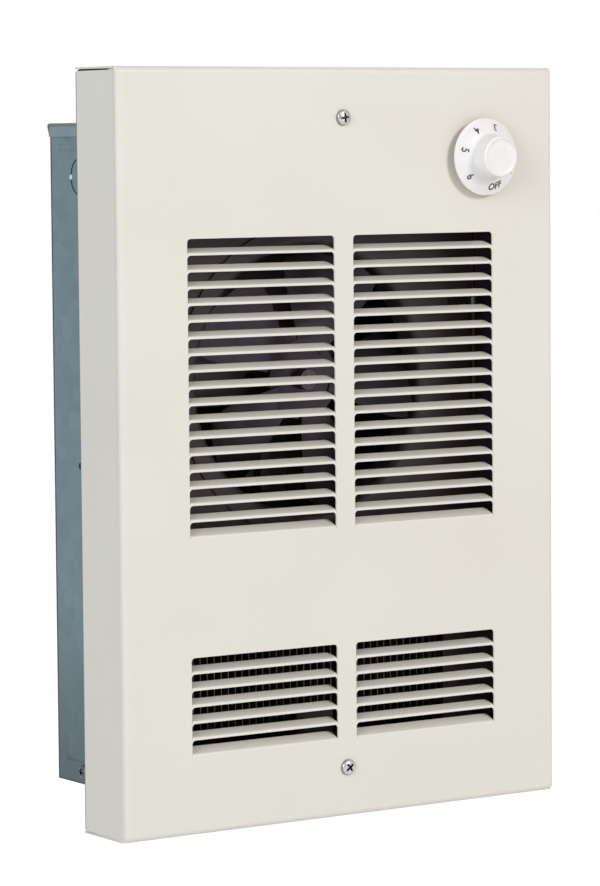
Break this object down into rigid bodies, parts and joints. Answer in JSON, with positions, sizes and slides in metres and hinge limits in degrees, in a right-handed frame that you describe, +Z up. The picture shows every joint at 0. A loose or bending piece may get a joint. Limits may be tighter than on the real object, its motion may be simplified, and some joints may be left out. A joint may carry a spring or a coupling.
{
  "type": "wall fan heater",
  "caption": "Recessed bathroom wall fan heater: a louvred steel cover on a galvanised wall box with fan, finned element and dial thermostat.",
  "frame": {"origin": "middle of the outside face of the wall box's back, which sits against the back of the wall recess", "axes": "+X to the right of a person facing the heater, +Y into the wall, +Z up; the front cover faces -Y"},
  "size_m": [0.3068, 0.1429, 0.4404],
  "materials": {
    "cover_paint": "warm off-white baked enamel, low gloss, on sheet steel",
    "galvanised_box": "blue-grey galvanised sheet steel, satin, faint spangle",
    "deck_enamel": "brown-black heat-resistant enamel, satin, on sheet steel",
    "galvanised_deck": "galvanised sheet steel, satin",
    "zinc_plate": "bright zinc plate",
    "fan_aluminium": "stamped aluminium, dull grey",
    "bearing_bronze": "oil-filled sintered bronze",
    "dark_steel": "varnished motor laminations and blackened steel",
    "ground_steel": "ground bright steel",
    "coil_tape": "brown varnished tape over a wound coil",
    "element_steel": "heat-tinted steel sheath and fins",
    "ceramic": null,
    "phenolic": "black moulded phenolic",
    "knob_plastic": "white moulded plastic, soft gloss",
    "black_rubber": "black rubber grommet",
    "copper": null,
    "green_screw": "green passivated screw",
    "black_wire": "black high-temperature wire insulation",
    "red_wire": "red high-temperature wire insulation"
  },
  "bodies": {
    "root": {"wall_box": "galvanised_box", "box_top_end": "galvanised_box", "box_bottom_end": "galvanised_box", "front_cover": "cover_paint", "heater_deck": "deck_enamel", "fan_ring": "deck_enamel", "wire_grommet": "black_rubber", "air_divider": "deck_enamel", "cover_bracket_top": "galvanised_deck", "cover_bracket_bottom": "galvanised_deck", "clip_nut_top": "zinc_plate", "clip_nut_bottom": "zinc_plate", "cover_screw_top": "zinc_plate", "cover_screw_bottom": "zinc_plate", "deck_screw_top_left": "zinc_plate", "deck_screw_top_right": "zinc_plate", "deck_screw_bottom_left": "zinc_plate", "deck_screw_bottom_right": "zinc_plate", "side_screw_left": "zinc_plate", "side_screw_right": "zinc_plate", "motor_core": "dark_steel", "motor_coil": "coil_tape", "motor_front_frame": "zinc_plate", "motor_rear_frame": "zinc_plate", "front_bearing": "bearing_bronze", "rear_bearing": "bearing_bronze", "motor_strap": "deck_enamel", "motor_bolt_left": "zinc_plate", "motor_bolt_right": "zinc_plate", "heating_element": "element_steel", "element_bracket_left": "galvanised_deck", "element_bracket_right": "galvanised_deck", "element_insulator_upper": "ceramic", "element_insulator_lower": "ceramic", "element_terminal_upper": "ground_steel", "element_terminal_lower": "ground_steel", "limit_switch": "phenolic", "thermostat_bracket": "galvanised_deck", "thermostat_body": "phenolic", "thermostat_screw_left": "zinc_plate", "thermostat_screw_right": "zinc_plate", "sensing_bulb": "copper", "bulb_clip": "zinc_plate", "capillary_tube": "copper", "terminal_block": "ceramic", "ground_screw": "green_screw", "wire_block_to_thermostat": "black_wire", "wire_thermostat_to_limit": "red_wire", "wire_limit_to_element": "red_wire", "wire_element_to_block": "black_wire", "motor_lead_a": "black_wire", "motor_lead_b": "black_wire"},
    "fan": {"fan_blade": "fan_aluminium", "fan_hub": "dark_steel", "hub_set_screw": "dark_steel", "motor_shaft": "ground_steel", "motor_rotor": "dark_steel"},
    "knob": {"control_knob": "knob_plastic", "knob_spring": "ground_steel", "thermostat_stem": "ground_steel"}
  },
  "joints": [
    {"name": "fan_spin", "type": "hinge", "parent": "root", "child": "fan", "pos_m": [0, -0.077, 0.04208], "axis": [0, 1, 0], "continuous": true},
    {"name": "knob_turn", "type": "hinge", "parent": "root", "child": "knob", "pos_m": [0.0992, -0.13, 0.1731], "axis": [0, 1, 0], "range_deg": [0, 300]}
  ]
}
